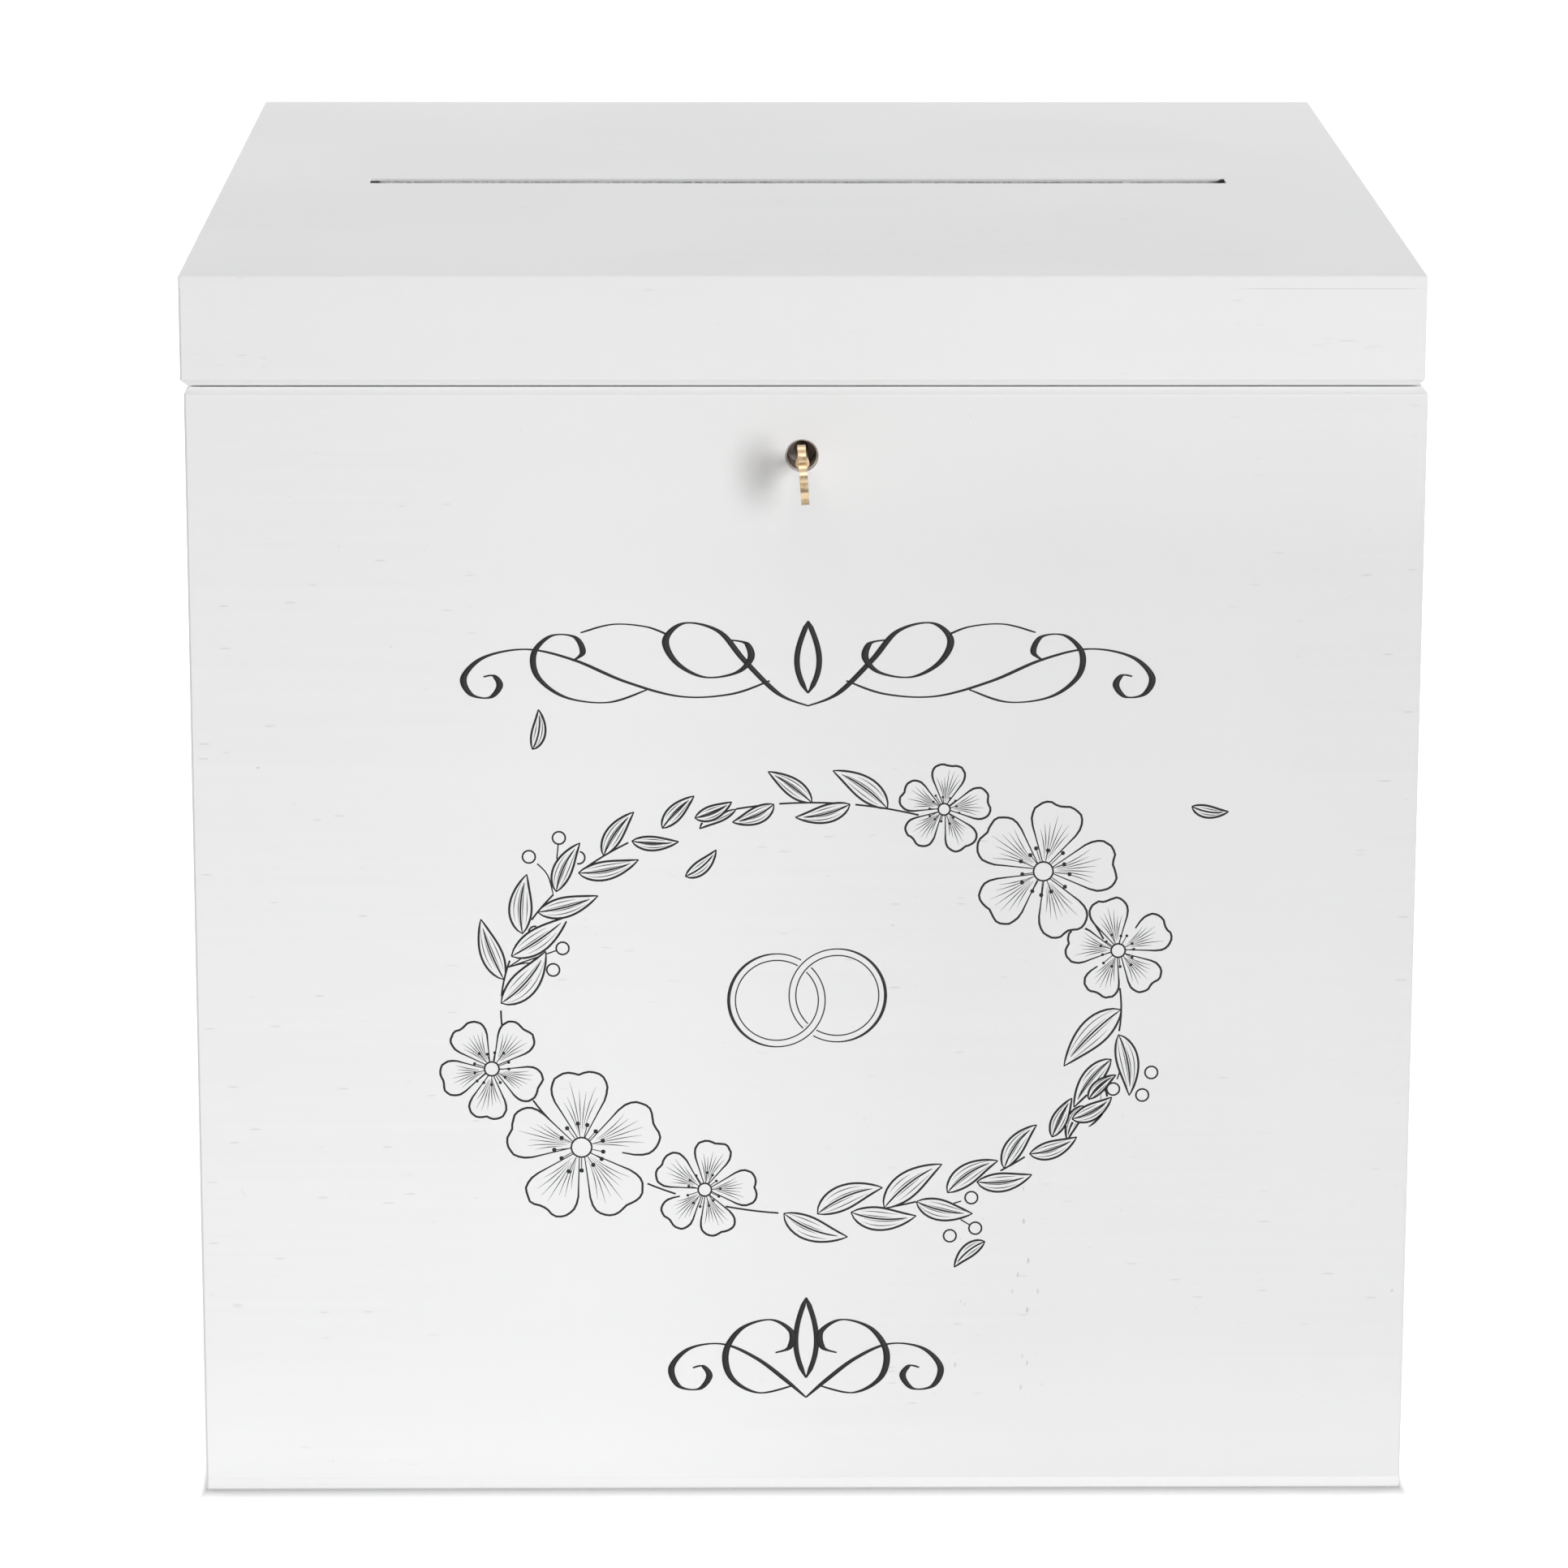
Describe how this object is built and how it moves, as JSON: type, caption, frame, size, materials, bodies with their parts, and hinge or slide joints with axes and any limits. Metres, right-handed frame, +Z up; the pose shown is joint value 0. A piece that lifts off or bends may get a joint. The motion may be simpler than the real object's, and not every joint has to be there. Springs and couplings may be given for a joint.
{
  "type": "wedding card box",
  "caption": "White painted wooden card box with a slotted lid on rear hinges, a front key lock and a key that turns and pulls out.",
  "frame": {"origin": "on the floor, at the middle of the box's underside", "axes": "+X to the right as seen from the front, +Y from the front with the lock towards the hinges at the back, +Z up"},
  "size_m": [0.2908, 0.335, 0.298],
  "materials": {
    "white_painted_wood": "satin white paint, brushed on, with faint streaks",
    "hinge_brass": "brass plated, satin",
    "lock_steel": "nickel plated steel, brushed",
    "key_brass": "cast brass, polished by use",
    "print_ink": "matt black print"
  },
  "bodies": {
    "box": {"front_wall": "white_painted_wood", "back_wall": "white_painted_wood", "left_wall": "white_painted_wood", "right_wall": "white_painted_wood", "bottom_panel": "white_painted_wood", "left_hinge_box_leaf": "hinge_brass", "right_hinge_box_leaf": "hinge_brass", "left_hinge_pin": "hinge_brass", "right_hinge_pin": "hinge_brass", "hinge_box_screws": "hinge_brass", "lock_housing": "lock_steel", "lock_screws": "lock_steel"},
    "lid": {"lid_front_rail": "white_painted_wood", "lid_back_rail": "white_painted_wood", "lid_left_rail": "white_painted_wood", "lid_right_rail": "white_painted_wood", "lid_top_panel": "white_painted_wood", "left_hinge_lid_leaf": "hinge_brass", "right_hinge_lid_leaf": "hinge_brass", "hinge_lid_screws": "hinge_brass", "keeper_plate": "lock_steel", "keeper_screws": "lock_steel"},
    "lock_barrel": {"lock_rotor": "lock_steel", "lock_cam": "lock_steel", "cam_screw": "lock_steel"},
    "key": {"key": "key_brass"}
  },
  "joints": [
    {"name": "lid_hinge", "type": "hinge", "parent": "box", "child": "lid", "pos_m": [0, 0.1522, 0.2715], "axis": [-1, 0, 0], "range_deg": [0, 180]},
    {"name": "lock_turn", "type": "hinge", "parent": "box", "child": "lock_barrel", "pos_m": [-0.0011, -0.15, 0.2555], "axis": [0, 1, 0], "range_deg": [0, 94]},
    {"name": "key_pull", "type": "slide", "parent": "lock_barrel", "child": "key", "axis": [0, -1, 0], "range_m": [0, 0.02]}
  ]
}
